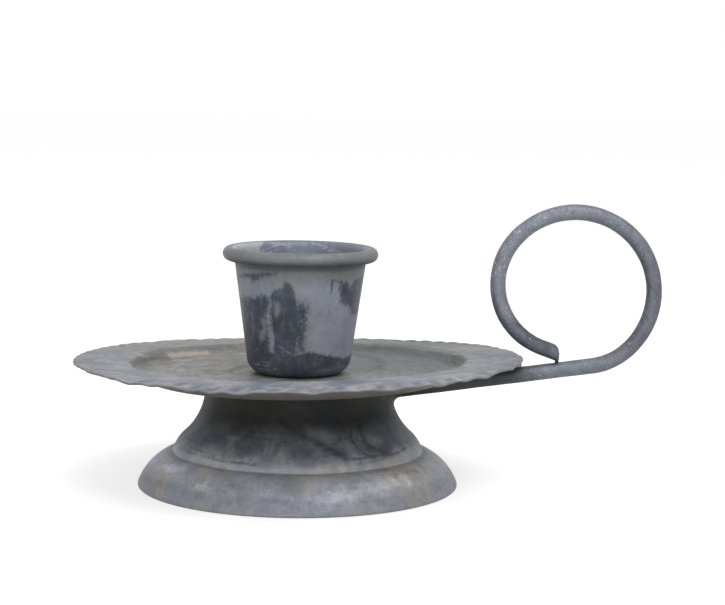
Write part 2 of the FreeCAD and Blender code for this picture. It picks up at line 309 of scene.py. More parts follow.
def piece(name, patches, material, slot, *nodes, flat=False):
    """One object from patches. Points that meet, as at a pole, are merged."""
    made = [quads_of(grid) for grid in patches]
    counts = [grid["points"].shape[0] * grid["points"].shape[1] for grid in patches]
    starts = np.concatenate([[0], np.cumsum(counts)[:-1]])
    corners = np.concatenate([grid["points"].reshape(-1, 3) for grid in patches]) * MM
    quads = np.concatenate([quad + start for (quad, place), start in zip(made, starts)])
    places = np.concatenate([place for quad, place in made])
    mesh = bpy.data.meshes.new(name)
    mesh.vertices.add(len(corners))
    mesh.vertices.foreach_set("co", corners.astype(np.float32).ravel())
    mesh.loops.add(quads.size)
    mesh.loops.foreach_set("vertex_index", quads.astype(np.int32).ravel())
    mesh.polygons.add(len(quads))
    mesh.polygons.foreach_set("loop_start", np.arange(0, quads.size, 4, dtype=np.int32))
    mesh.polygons.foreach_set("use_smooth", np.full(len(quads), not flat))
    mesh.update(calc_edges=True)
    mesh.uv_layers.new(name="surface").data.foreach_set("uv", places.astype(np.float32).ravel())
    for value in patches[0]["values"]:
        layer = mesh.attributes.new(value, "FLOAT", "POINT")
        numbers = np.concatenate([grid["values"][value].ravel() for grid in patches])
        layer.data.foreach_set("value", numbers.astype(np.float32))
    work = bmesh.new()
    work.from_mesh(mesh)
    bmesh.ops.remove_doubles(work, verts=work.verts, dist=1e-7)
    work.to_mesh(mesh)
    work.free()
    mesh.materials.append(material)
    shown = bpy.data.objects.new(name, mesh)
    bpy.context.scene.collection.objects.link(shown)
    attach(shown, "root")
    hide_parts(*nodes)
    return shown


def strokes(a, h, radius, marks):
    """Painted marks at angle a and height or radius h, with distances in millimetres along the
    face. Each is its weight, its half width, and its line's points as degrees and h in turn. A
    line counts most at its middle and falls to 0 at its half width. A line that ends where it
    starts is an outline, full inside, half at the line and 0 outside, over its half width on
    each side. The largest of all marks counts."""
    field = np.zeros_like(a)
    degrees = (np.degrees(a) + 270) % 360 - 270
    scale = np.radians(radius)
    for weight, half_width, *numbers in marks:
        line = list(zip(numbers[::2], numbers[1::2]))
        away = np.full(a.shape, np.inf)
        inside = np.zeros(a.shape, bool)
        for (first, low), (last, high) in zip(line, line[1:]):
            run, rise = (last - first) * scale, high - low
            x, y = (degrees - first) * scale, h - low
            t = np.clip((x * run + y * rise) / (run ** 2 + rise ** 2), 0, 1)
            away = np.minimum(away, np.hypot(x - t * run, y - t * rise))
            if rise:
                inside ^= ((h < low) != (h < high)) & (x < y * run / rise)
        filled = 0.5 + np.where(inside, away, -away) / (2 * half_width)
        near = filled if line[0] == line[-1] else 1 - away / half_width
        field = np.maximum(field, weight * np.clip(near, 0, 1))
    return field


# Foot

FOOT_STAINS_AND_SHADE = [
    # Smears on the neck and shoulder, dabs above the crease, clouds on the bell, and dark edges up both
    # sides of the neck and shoulder, which are painted shade
    (0.7, 1.9, -97, 20.8, -89, 18.8, -79, 16.6, -71, 14.2, -64, 12.6),
    (0.7, 0.8, -57, 19.4, -59, 16.7, -57, 14.3, -54, 12.8, -50, 12),
    (0.8, 1.3, -51, 19.7, -52, 17, -51, 15.1, -46, 13.4, -40, 12.2),
    (0.75, 0.65, -66, 12.6, -58, 12.2, -49, 12.4, -40, 12, -32, 12.2, -25, 12.6),
    (0.4, 0.9, -62, 11, -57, 11.2, -52, 11.2, -44, 11.8),
    (0.5, 0.8, -156, 11.8, -148, 11.4, -138, 11.6, -127, 11.2, -117, 11, -108, 11.2),
    (0.6, 0.6, -150, 12.6, -139, 12.3, -130, 12),
    (0.7, 0.7, -119, 11.2, -113, 11.3, -108, 11),
    (0.5, 1.4, -38, 8.1, -35, 7.8, -32, 7.6),
    (0.4, 2.6, -126, 18, -116, 17.2, -104, 17, -94, 16.6),
    (0.35, 3, -116, 6.6, -108, 7.2, -98, 7.6, -88, 7.4),
    (0.25, 2.2, -97, 3.6, -90, 2.6, -86, 1.4),
    (0.4, 2.8, -170, 3, -152, 3.6, -141, 4.6),
    # Painted shade up the left and right sides of the neck and shoulder
    (0.7, 4.5, -184, 12, -174, 14.5, -170, 18.5, -168, 24),
    (0.3, 4.5, 2, 10, -6, 13, -10, 18, -12, 24),
    (0.4, 1.2, -150, 9.6, -136, 9.5, -122, 9.5),
]
FOOT_BLOOMS_AND_HIGHLIGHT = [
    # A painted highlight along the crease, the curl and pale clouds above it, clouds on the bell
    (0.25, 0.5, -118, 9.3, -105, 9.3, -90, 9.2),
    (0.25, 0.7, -90, 9.2, -80, 9.3, -66, 9.5, -52, 10, -38, 10.7),
    (0.2, 1.2, -98, 10.5, -88, 10.5, -78, 10.8, -66, 10.8),
    (0.32, 0.5, -108, 11.6, -108, 13.2, -106, 14.3, -101, 14.8, -97, 14),
    (0.35, 0.7, -60, 20.4, -61, 17.9, -60, 15.8, -57, 14.1, -52, 12.9),
    (0.35, 0.9, -54, 20.2, -55, 17.7, -54, 15.6, -49, 13.8, -45, 12.9),
    (0.35, 1.8, -67, 17.4, -64, 15.6, -60, 14),
    (0.4, 3, -122, 12.6, -112, 12.4, -100, 12.2),
    (0.45, 3.6, -104, 13.6, -92, 13, -82, 12.4),
    (0.4, 3.2, -48, 17.2, -43, 15.6, -38, 14.6),
    (0.45, 3.2, -128, 5.6, -121, 4.7, -112, 4.4),
    (0.4, 3, -104, 5.4, -96, 4.8, -89, 4.4, -80, 4.6),
    (0.7, 4.2, -80, 4.2, -72, 4.8, -61, 6, -50, 6.6, -42, 6.6),
    (0.6, 2.2, -142, 8, -150, 7.4, -158, 7.4),
]
FOOT_WARMTH = [
    (1, 5, -72, 5.4, -58, 6.4, -44, 6.8),
    (0.7, 3, -168, 4.4, -158, 5.6, -150, 6.6),
]


def foot_path():
    """Bell, shoulder and neck as arcs. The neck's arc starts upright and its end leans by twice
    what its chord does; the shoulder's arc goes on at that lean."""
    base = np.array((FOOT_RADIUS, 0.0))
    bell = np.array((FOOT_RADIUS, FOOT_EDGE))
    width, drop = np.abs(CREASE - THROAT) * SWEEP_SHARES
    meeting = THROAT + (width, -drop)
    chord = CREASE - meeting
    turn = 2 * math.atan2(width, drop) - math.atan2(chord[0], -chord[1])
    shoulder_radius = np.linalg.norm(chord) / (2 * math.sin(turn))
    neck_radius = (width ** 2 + drop ** 2) / (2 * width)
    top = [THROAT, (NECK_RADIUS, FOOT_TOP), (HOLE_RADIUS, FOOT_TOP)]
    return joined(
        straight(base, bell, 3),
        arc_to(bell, CREASE, BELL_RADIUS, 46),
        arc_to(CREASE, meeting, shoulder_radius, 18),
        arc_to(THROAT, meeting, neck_radius, 40)[::-1],
        rounded(top, [NECK_BEND], [0.6, 1.4], 7),
    )


def foot_shape(r, z, a, s, side):
    """Small dents and spinning marks, none at the rest face and at the top."""
    dents = np.abs(uneven(11, a, s, range(2, 9), 0.045))
    grooves = 0.012 * (1 + np.sin(z * 5.1 + np.sin(3 * a)))
    r = r - (dents + grooves) * smooth(0, 3, z) * (1 - smooth(FOOT_TOP - 5, FOOT_TOP - 2, z))
    radius = np.maximum(r, NECK_RADIUS)
    marks = {"stain_and_shade": FOOT_STAINS_AND_SHADE, "bloom_and_highlight": FOOT_BLOOMS_AND_HIGHLIGHT, "warmth": FOOT_WARMTH}
    return r, z, {name: strokes(a, z, radius, lines) * side for name, lines in marks.items()}


def foot_shell():
    section, face = sheet_section(foot_path(), FOOT_SHEET, 2)
    shell = turned(section, face, FOOT_AROUND, foot_shape)
    return piece("spun_foot", [shell], foot_finish(), "foot_zinc", "foot_shell")


# Drip plate

# Where the rim was knocked down by hand: degrees and drop round the front, degrees behind
KNOCKS = [
    (-151, 0.25), (-133, 0.6), (-126, 0.3), (-115, 0.45), (-109, 0.6), (-102, 0.75), (-95, 0.2),
    (-85, 0.5), (-66, 0.6), (-59, 0.25), (-52, 0.75), (-44, 0.4), (-36, 0.7), (-21, 0.4), (-12, 0.7),
]
KNOCK_WIDTH = 2.8
BACK_KNOCKS = [8 + step * 14.2 for step in range(14)]
PLATE_STAINS_AND_SHADE = [
    # Painted shade in the well's corner at the left and right, dark bands along the brim's inner part at the
    # back, worn lines on the brim, streaks on the floor
    # Painted shade in the well's corner at the left, then at the right
    (1, 1.5, -194, 44.6, -187, 44, -181, 44.4, -176, 44.2),
    (0.8, 1.2, -204, 43.6, -196, 43.8, -190, 43.2),
    (1, 1.4, 19, 44.4, 13, 44.7, 7, 44.4, 1, 44.8),
    (0.8, 1, 16, 43.2, 9, 43, 3, 43.4),
    (0.6, 2.8, 20, 46.6, 45, 46.8, 66, 46.6, 88, 46.2),
    (0.75, 2.8, -269, 46.2, -240, 46.6, -215, 46.8, -202, 46),
    (0.5, 0.5, -166, 54.8, -165, 50.8, -160, 48.7, -139, 47.9),
    (0.5, 0.4, -176, 52, -166, 52.8, -152, 52.4),
    (0.45, 0.4, -180, 56, -170, 56.8, -158, 56.4, -148, 56.6),
    (0.7, 0.8, 62, 22.5, 54, 25.2, 40, 32, 29, 41),
    (0.5, 0.9, 88, 33.5, 66, 35.5, 48, 40),
    (0.5, 0.7, -262, 36, -236, 33.5, -216, 34.5),
    (0.7, 3.6, 12, 20, 32, 26, 52, 33, 70, 37),
    (0.8, 2.6, -176, 19, -196, 17.5, -216, 18),
    (0.5, 3, -100, 17, -80, 16, -60, 17.5),
]
PLATE_BLOOMS_AND_HIGHLIGHT = [
    # A painted highlight low on the well's wall at the back left, then pale marks on the floor
    (1, 2, -213, 43.6, -221, 43.4, -231, 43),
    (0.5, 1.4, -211, 43.8, -240, 42.9, -254, 42.8),
    (0.7, 1.6, -66, 38.5, -52, 35, -40, 32.5, -30, 31.5),
    (0.4, 2.4, -190, 34, -204, 36.5, -222, 38),
]
PLATE_LILACS = [
    (0.9, 1.3, -114, 46.3, -105, 45.8, -94, 45.4, -81, 45.2),
    (0.7, 1.4, -176, 55.5, -171, 54.2),
    (0.6, 2.2, -20, 52, -8, 50.8, 4, 51.4),
    (1, 1.4, -131, 58.2, -130, 57),
    (1, 1.2, -108, 58.2, -106, 57.4),
    (0.8, 1.2, -101, 58, -99, 57.6),
    (0.8, 3, -56, 50, -50, 52),
    (0.6, 2.4, -84, 53, -76, 51),
]


def plate_path():
    """Brim, crest, well wall, well floor."""
    corners = [
        (RIM_RADIUS, RIM_HEIGHT),
        (CREST_RADIUS, CREST_HEIGHT),
        (WELL_RADIUS, PLATE_FLOOR),
        (HOLE_RADIUS, PLATE_FLOOR),
    ]
    return rounded(corners, [CREST_BEND, WELL_BEND], [0.32, 0.5, 1.1], 9)


def bent_by_use(r, a):
    """How far the plate has been bent from flat: up towards the handle past the clamped middle,
    up towards the front over the well's wall, and its brim up at the sides and a little at the
    front and back."""
    handle = HANDLE_LIFT * np.cos(a) * smooth(FLAT_RADIUS, CREST_RADIUS, r)
    front = -FRONT_LIFT * np.sin(a) * smooth(FLOOR_RADIUS, CREST_RADIUS, r)
    curl = SIDE_CURL * np.cos(2 * a) - RIM_TWIST * np.sin(2 * a)
    for height, way in ((FRONT_CURL, -2), (BACK_CURL, 2)):
        curl = curl + height * np.clip(np.sin(a) * way, 0, 1)
    out = np.clip((r - CREST_RADIUS) / (RIM_RADIUS - CREST_RADIUS), 0, 1)
    return handle + front + curl * out


def crimps(r, a):
    """The crimped rim: short troughs just inside the edge, a little slanted and uneven and weak
    at both ends of the plate, and the ridges between them."""
    out = np.clip((r - FLUTE_START) / (RIM_RADIUS - FLUTE_START), 0, 1)
    slant = a + 0.03 * out + uneven(5, a, 0, range(2, 8), 0.012)
    wave = (1 - np.cos(FLUTES * slant)) / 2
    depth = smooth(0, 0.5, out) * (1 - 0.55 * smooth(0.6, 1, out))
    strength = np.clip(0.75 + uneven(6, a, 0, range(3, 36, 4), 0.55), 0.08, 1.5)
    strength = strength * (1 - 0.8 * np.cos(a) ** 4)
    return wave ** 1.5 * depth * strength, (1 - wave) ** 2.5 * depth * strength


def knocks(a):
    """How far the rim drops at each knock: one smooth bump per place in the list, and seeded
    ones round the back."""
    random = np.random.default_rng(8)
    behind = [(degrees + random.uniform(-3, 3), random.uniform(0.02, 0.18)) for degrees in BACK_KNOCKS]
    total = np.zeros_like(a)
    for degrees, drop in KNOCKS + behind:
        away = (np.degrees(a) - degrees + 180) % 360 - 180
        total += drop * np.exp(-(away / KNOCK_WIDTH) ** 2)
    return total


def plate_shape(r, z, a, s, side):
    """The dish as it was pressed, then crimped, knocked at the rim and bent by use."""
    trough, ridge = crimps(r, a)
    drop = knocks(a) * smooth(FLUTE_START, RIM_RADIUS, r)
    draw = DRAWN_BETWEEN * (1 - np.cos(FLUTES * (a + 0.03))) + DRAWN_IN - PLATE_SHIFT * np.cos(a)
    dents = uneven(3, a, r * 3, range(3, 14), 0.09) * smooth(45, 50, r)
    streaks = 0.02 * np.sin(r * 6.1 + uneven(4, a, 0, range(1, 5), 1.6)) * smooth(15, 18, r)
    floor_only = 1 - smooth(WELL_RADIUS - 1, WELL_RADIUS, r)
    up = dents - drop - FLUTE_DEPTH * trough + streaks * floor_only + bent_by_use(r, a)
    marks = {"stain_and_shade": PLATE_STAINS_AND_SHADE, "bloom_and_highlight": PLATE_BLOOMS_AND_HIGHLIGHT, "lilac": PLATE_LILACS}
    extra = {name: strokes(a, r, CREST_RADIUS, lines) * side for name, lines in marks.items()}
    return r - draw * smooth(56, RIM_RADIUS, r), z + up, {**extra, "trough": trough, "ridge": ridge}


def drip_plate():
    section, face = sheet_section(plate_path(), PLATE_SHEET, 2)
    dish = turned(section, face, PLATE_AROUND, plate_shape)
    return piece("dished_plate", [dish], plate_finish(), "plate_zinc", "drip_plate")


# Candle cup

CUP_STAINS = [
    # The band at the foot of the wall, all round
    (1, 1.2, -275, 35.8, -230, 36.8, -185, 36.4, -160, 37.4, -143, 37.1, -134, 38.3, -124, 37.6,
     -113, 37.1, -95, 36.7, -83, 37.7, -67, 37.3, -53, 36.4, -36, 35.2, -18, 35.1, 20, 36.5, 60, 37.3,
     95, 35.8, 95, 28, -275, 28, -275, 35.8),
    # The streak under the lip and its drip
    (0.8, 0.9, -172, 56.8, -150, 57.3, -136, 57.9, -120, 58.4, -108, 58.8, -106, 58.2, -116, 57.3,
     -125, 56.8, -127, 55.7, -136, 55.2, -139, 56.3, -166, 55.8, -172, 56.8),
    # The patch on the left and its dark edge
    (0.78, 1.6, -178, 50.6, -158, 51.3, -135, 51.7, -124, 52.7, -116, 52.1, -113, 50.7, -116, 48.4,
     -119, 46.9, -119, 36, -178, 36, -178, 50.6),
    (0.85, 3.6, -176, 48, -172, 52, -168, 56),
    # The great patch left of the middle and its rubbed right side
    (0.95, 1.1, -116, 52.1, -111, 53.8, -104, 54.7, -101, 56, -96, 55.7, -93, 54.3, -92, 52.3, -89, 50,
     -88, 46, -89, 41.5, -92, 36, -115, 36, -115, 41.8, -117, 46.2, -116, 52.1),
    (0.66, 1.8, -94, 52.8, -86, 52, -79, 51, -76, 48.5, -79, 46.5, -77, 43.1, -79, 40.3, -82, 37.4,
     -94, 36, -94, 52.8),
    # The patch on the right, and the small streaks before it
    (0.9, 1.5, -52, 56.3, -43, 56.3, -36, 54.4, -31, 56.5, -7, 57.2, 4, 55, 6, 49, -8, 46, -25, 46.6,
     -35, 49, -48, 50.2, -50, 52.8, -52, 56.3),
    (0.85, 0.5, -60, 57, -57, 56.6, -57, 53, -59, 53, -60, 57),
    (0.6, 0.8, -55, 56.5, -47, 55.7),
    (0.7, 0.4, -59, 48.6, -58, 47.6),
    # Round the back
    (0.8, 2.2, 16, 49, 22, 53.5, 28, 54.5, 33, 50, 40, 47, 44, 41, 40, 35, 12, 35, 11, 43, 16, 49),
    (0.75, 2.2, 58, 55, 66, 58.5, 82, 57.5, 88, 52, 80, 49.5, 76, 45, 70, 44.5, 67, 50.5, 60, 51.5,
     58, 55),
    (0.85, 2.2, -250, 46, -247, 51.5, -240, 54, -235, 50.5, -228, 51.5, -220, 48, -212, 45.5, -207, 40,
     -211, 35, -248, 35, -252, 40, -250, 46),
]
CUP_BLOOMS = [
    (0.85, 0.8, -113, 50.5, -108, 51.1, -104, 50, -106, 47.9, -110, 46.6, -113, 47.8, -113, 50.5),
    (1, 0.4, -119, 47.9, -119, 44.7, -118, 41.3, -119, 38),
    (1, 0.9, -128, 46.2, -122, 46, -122, 43.5, -125, 40.5, -131, 39.8, -134, 41.5, -128, 43.4,
     -128, 46.2),
    (0.8, 0.5, -140, 47.6, -141, 43.4, -144, 39.8),
    (0.8, 0.5, -110, 39.4, -102, 37.9, -93, 36.9, -81, 37.7),
    (0.6, 1.3, -66, 32.4, -46, 32.6, -26, 33),
    (0.9, 0.34, -156, 33.1, -134, 33.6, -121, 33.3, -110, 32.6),
    (0.8, 0.28, -154, 32, -131, 32.5, -114, 32.2),
    (0.8, 0.3, -140, 33.9, -128, 34.6, -118, 34.2),
]
# Inside, in degrees from the -X side
CUP_INNER_STAINS = [
    (1, 0.9, -48, 60.6, -50, 62.6, -60, 64.2, -120, 66, -215, 66, -225, 56, -215, 46, -70, 46, -56, 52,
     -46, 58, -48, 60.6),
]
CUP_INNER_BLOOMS = [
    (0.8, 0.5, -50, 61.2, -58, 61.8, -69, 62.7),
    (0.7, 0.4, -61, 63.2, -70, 62.9, -80, 62.2),
    (0.7, 0.5, -99, 63.3, -111, 62.4, -124, 61.4, -135, 60.8),
    (0.6, 0.5, -106, 62.1, -120, 61.1),
    (0.6, 0.5, -56, 60.6, -67, 61.4, -79, 61.8),
    (0.8, 0.6, -150, 60, -170, 58, -190, 57),
    (0.8, 0.6, -84, 58, -100, 56.5, -112, 53),
]


def cup_path():
    """Rolled lip from its curled end, wall, floor. The wall is tangent to the roll."""
    corner = np.array((CUP_FLOOR_RADIUS, CUP_FLOOR))
    lean = ROLL_CENTRE - corner
    slope = math.degrees(math.atan2(lean[1], lean[0]) + math.asin(ROLL_RADIUS / np.linalg.norm(lean)))
    tangent = ROLL_CENTRE + ROLL_RADIUS * heading(slope + 90)
    lip = arc(ROLL_CENTRE, ROLL_RADIUS, slope + 90 - ROLL_ANGLE, slope + 90, 44)
    return joined(lip, rounded([tangent, corner, (HOLE_RADIUS, CUP_FLOOR)], [CUP_BEND], [0.42, 1.2], 12))


def cup_shape(r, z, a, s, side):
    """The wall a little out of round and leaning, with small dents, and level at the floor."""
    out_of_round = uneven(21, a, z * 0.3, range(2, 4), 0.05) + uneven(22, a, z * 2, range(5, 12), 0.02)
    grooves = 0.008 * np.sin(z * 4.2)
    r = r - (np.abs(out_of_round) + grooves) * smooth(CUP_FLOOR + 2, CUP_FLOOR + 8, z)
    outside = (1 - side) * (1 - smooth(ROLL_CENTRE[1] - 2.4, ROLL_CENTRE[1] - 1.6, z))
    inside = side * (1 - smooth(ROLL_CENTRE[0] - 0.9, ROLL_CENTRE[0] - 0.4, r))

    def marks(outer, inner):
        return strokes(a, z, 16.0, outer) * outside + strokes(a + np.pi, z, 17.0, inner) * inside
    stain_and_shade, bloom_and_highlight = marks(CUP_STAINS, CUP_INNER_STAINS), marks(CUP_BLOOMS, CUP_INNER_BLOOMS)
    lean = CUP_LEAN * np.clip(z - PLATE_FLOOR, 0, None) * np.cos(a)
    tilt = (LIP_LIFT - LIP_TILT * r * np.cos(a)) * smooth(CUP_FLOOR + 6, ROLL_CENTRE[1] - ROLL_RADIUS, z)
    return r + lean, z + tilt, {"stain_and_shade": stain_and_shade, "bloom_and_highlight": bloom_and_highlight, "inside": inside}


def candle_cup():
    section, face = sheet_section(cup_path(), CUP_SHEET)
    cup = turned(section, face, CUP_AROUND, cup_shape)
    return piece("rolled_cup", [cup], cup_finish(), "cup_zinc", "candle_cup")


# Handle

def run_point(reach):
    """Point of the handle's straight axis at a distance out from the candlestick's axis. The rod
    stands a gap below the plate where the plate begins to rise to its well's wall."""
    lift = HANDLE_LIFT * smooth(FLAT_RADIUS, CREST_RADIUS, FLOOR_RADIUS)
    height = FOOT_TOP + lift - ROD_GAP - ROD_RADIUS / math.cos(math.radians(ROD_SLOPE))
    return np.array((reach, height + (reach - FLOOR_RADIUS) * ROD_RISE))


def ring_bends():
    """The bends of the finger ring, each as its centre, radius, first and last angle."""
    here = run_point(RUN_REACH)
    first = ROD_SLOPE - 90
    bends = []
    for radius, angle in RING_BENDS:
        centre = here - heading(first) * radius
        bends.append((centre, radius, first, first + angle))
        first += angle
        here = centre + heading(first) * radius
    return bends


def last_stretch():
    """Start and course of the rod's last stretch, and the lowest point of the rod's tip, which
    lies just above the straight run."""
    centre, radius, first, last = ring_bends()[-1]
    start = centre + heading(last) * radius
    under = start + heading(last) * ROD_RADIUS
    above = heading(ROD_SLOPE + 90)
    height = (under - run_point(RUN_REACH)) @ above
    course = last + 90
    tip = under + heading(course) * (ROD_RADIUS + TIP_GAP - height) / (heading(course) @ above)
    return start, course, tip


def handle_axis():
    """Points of the rod's axis up to its last straight stretch, each with its heading."""
    paths = [straight(run_point(ROD_ROOT), run_point(RUN_REACH), 70)]
    ways = [np.full(69, ROD_SLOPE)]
    for centre, radius, first, last in ring_bends():
        count = round((last - first) / 1.4)
        paths.append(arc(centre, radius, first, last, count))
        ways.append(np.linspace(first, last, count)[:-1] + 90)
    return joined(*paths), np.concatenate(ways + [[last + 90]])


def ring_handle():
    """A round rod: centre plus radius times (cos b on the left hand + sin b sideways) along the
    axis. The tip is a flat slanting face whose edge is rounded, most on top, and both ends close
    on a point."""
    centre, way = handle_axis()
    start, course, tip = last_stretch()
    b = circle(ROD_AROUND)
    left = np.stack([-np.sin(np.radians(way)), np.cos(np.radians(way))], 1)
    s = running_length(centre)
    radius = ROD_RADIUS * (1 - 0.012 * (1 + np.sin(s * 0.31)) - 0.006 * (1 + np.sin(s * 0.83 + 1)))
    closing = np.linspace(0, 1, 5)[:-1] * radius[0]
    extra = len(closing)
    rod_spoke, rod_turn = np.meshgrid(np.concatenate([closing, radius]), b, indexing="ij")
    centres, lefts = [np.concatenate([np.repeat(path[:1], extra, 0), path]) for path in (centre, left)]
    plane = centres[:, None] + rod_spoke[..., None] * np.cos(rod_turn)[..., None] * lefts[:, None]
    end = radius[-1]
    edge = np.radians(np.linspace(0, 90, 12))[:, None]
    bevel = TIP_ROUND + (TIP_CROWN - TIP_ROUND) * smooth(-0.6, 1, np.cos(b))
    spoke = np.concatenate([
        np.full((14, len(b)), end),
        end - bevel * (1 - np.cos(edge)),
        (end - bevel) * np.linspace(1, 0, 7)[1:, None],
    ])
    back_off = np.concatenate([np.ones((14, 1)) * bevel, bevel * (1 - np.sin(edge)), np.zeros((6, len(b)))])
    share = np.concatenate([np.linspace(0, 1, 16)[1:-1], np.ones(18)])
    side_way, along, face = heading(course + 90), heading(course), heading(TIP_FACE)
    offset = (spoke * np.cos(b))[..., None] * side_way
    travel = (((tip - start - offset) @ face) / (along @ face) - back_off) * share[:, None]
    plane = np.concatenate([plane, start + offset + travel[..., None] * along])
    sideways = np.concatenate([rod_spoke * np.sin(rod_turn), spoke * np.sin(b)])
    points = np.stack([plane[..., 0], sideways, plane[..., 1]], -1)
    length = np.concatenate([np.zeros(extra), s, s[-1] + travel[:, 0]])[:, None]
    uv = np.stack(np.broadcast_arrays(np.append(b, 2 * np.pi) / (2 * np.pi), length / 100), -1)
    rod = patch(points, uv, along=length, inner=np.cos(b), beside=np.sin(b))
    return piece("bent_rod", [rod], rod_finish(), "rod_zinc", "ring_handle")


def neck_reach(y, z):
    """How far out the neck's face is at a place beside the axis and a height."""
    path = foot_path()
    order = np.argsort(path[:, 1], kind="stable")
    keep = path[order][path[order][:, 0] > NECK_RADIUS - 0.01]
    radius = np.interp(z, keep[:, 1], keep[:, 0])
    return np.sqrt(np.maximum(radius ** 2 - y ** 2, 1))


def handle_braze():
    """A hollow fillet round the rod: its section is an arc that is tangent to the rod and to the
    neck, closed inside the metal. Its leg swells and shrinks round the rod."""
    b = circle(96)
    leg = BRAZE_LEG * (0.93 + 0.07 * np.sin(3 * b + 1) + 0.04 * np.sin(7 * b))
    t = np.radians(np.linspace(0, 90, 22))[:, None]
    in_neck, in_rod = [np.full((2, len(b)), -sunk) for sunk in BRAZE_SUNK]
    out = np.concatenate([leg * (1 - np.sin(t)), in_neck, 0.9 * leg[None]])
    up = np.concatenate([leg * (1 - np.cos(t)), 0.9 * leg[None], in_rod])
    spoke = ROD_RADIUS + up
    y = spoke * np.sin(b)
    rod = run_point(NECK_RADIUS + 0.5)[1]
    z = np.minimum(rod + spoke * np.cos(b) + out * ROD_RISE, FOOT_TOP - 0.03)
    points = np.stack([neck_reach(y, z) + out, y, z], -1)
    fillet = patch(points, unit_grid(len(points) + 1, len(b) + 1), True, along=spoke)
    return piece("neck_braze", [fillet], braze_finish(), "braze", "handle_braze")


def ball(centre, radii, lumps):
    """A closed lumpy ball: sin u cos v, sin u sin v, cos u, times its radii."""
    u, v = np.meshgrid(np.linspace(0, np.pi, 25), circle(40), indexing="ij")
    swell = 1 + lumps * (np.sin(3 * v + 1) * np.sin(u) ** 2 + np.sin(2 * u + v) * np.sin(u))
    points = np.array(centre) + round_axis(np.sin(u), v, np.cos(u)) * swell[..., None] * np.array(radii)
    return patch(points, unit_grid(25, 41), along=v)


def ring_tip_braze():
    """The drop of braze in the crevice under the rod's tip."""
    x, z = last_stretch()[-1] + DROP_PLACE
    return piece("tip_braze", [ball((x, 0, z), DROP_SIZE, 0.06)], braze_finish(), "braze", "ring_tip_braze")


# Fixing

def screw_head():
    """Slices across the slot, each a closed loop: flat below, round edge, dome or slot above."""
    radius, base = SCREW_BOX[1][0], SCREW_BOX[1][2] - HEAD_HEIGHT
    half = SLOT_WIDTH / 2
    outer = np.sin(np.radians(np.linspace(90, 0, 26))) * (radius - half) + half
    middle = np.linspace(-half, half, 7)
    y = np.concatenate([-outer, middle, outer[::-1]])[:, None]
    in_slot = np.concatenate([0 * outer, np.ones(len(middle)), 0 * outer])[:, None]
    below, edge, above, seam = 24, 4, 39, 3
    ways = [np.linspace(-1, 1, below), np.ones(edge), np.linspace(1, -1, above + 1)[1:], -np.ones(seam)]
    x = np.sqrt(np.maximum(radius ** 2 - y ** 2, 0)) * np.concatenate(ways)
    dome = HEAD_HEIGHT - (HEAD_HEIGHT - HEAD_EDGE) * (x ** 2 + y ** 2) / radius ** 2
    top = np.where(in_slot > 0, np.minimum(dome, HEAD_HEIGHT - SLOT_DEPTH), dome)
    up, down = np.linspace(0, 1, edge + 2)[1:-1], np.linspace(1, 0, seam + 2)[1:-1]
    z = base + top * np.concatenate([np.zeros(below), up, np.ones(above), down])
    rows, columns = x.shape
    return patch(np.stack(np.broadcast_arrays(x, y, z), -1), unit_grid(rows, columns + 1), along=z)


def screw_shank():
    """The threaded shank: its radius drops by the thread's depth in a ridge that climbs one
    pitch a turn, and its end is bevelled."""
    low, high = SCREW_BOX[0][2], SCREW_BOX[1][2] - HEAD_HEIGHT + 0.2
    wall = straight((SHANK_RADIUS, low + END_BEVEL), (SHANK_RADIUS, high), 110)
    end = straight((0, low), (SHANK_RADIUS - END_BEVEL, low), 6)
    profile = np.concatenate([end, wall, [(0, high)]])
    a = circle(SHANK_AROUND)
    r, z = profile[:, :1], profile[:, 1:]
    ridge = THREAD_DEPTH * np.abs(2 * ((z / THREAD_PITCH - a / (2 * np.pi)) % 1) - 1)
    r = r - ridge * smooth(SHANK_RADIUS - 0.2, SHANK_RADIUS, r)
    points = round_axis(r, a, np.broadcast_to(z, r.shape))
    return patch(points, unit_grid(len(z) + 1, SHANK_AROUND + 1), along=z)


def fixing_screw():
    parts = [screw_head(), screw_shank()]
    return piece("slotted_screw", parts, fixing_finish(), "fixings", "fixing_screw")


def fixing_washer():
    """A flat ring with rounded edges."""
    low, high, outer = WASHER_BOX[0][2], WASHER_BOX[1][2], WASHER_BOX[1][0]
    inset = straight((low, HOLE_RADIUS), (high, outer), 2) + ((WASHER_EDGE,), (-WASHER_EDGE,))
    (bottom, near), (top, far) = inset
    corners = [((far, bottom), -90), ((far, top), 0), ((near, top), 90), ((near, bottom), 180)]
    section = np.concatenate([arc(centre, WASHER_EDGE, first, first + 90, 5) for centre, first in corners])

    def plain(r, z, a, s, side):
        return r, z, {"along": z}
    ring = turned(section, np.ones(len(section)), FIXING_AROUND, plain)
    return piece("flat_washer", [ring], fixing_finish(), "fixings", "fixing_washer")


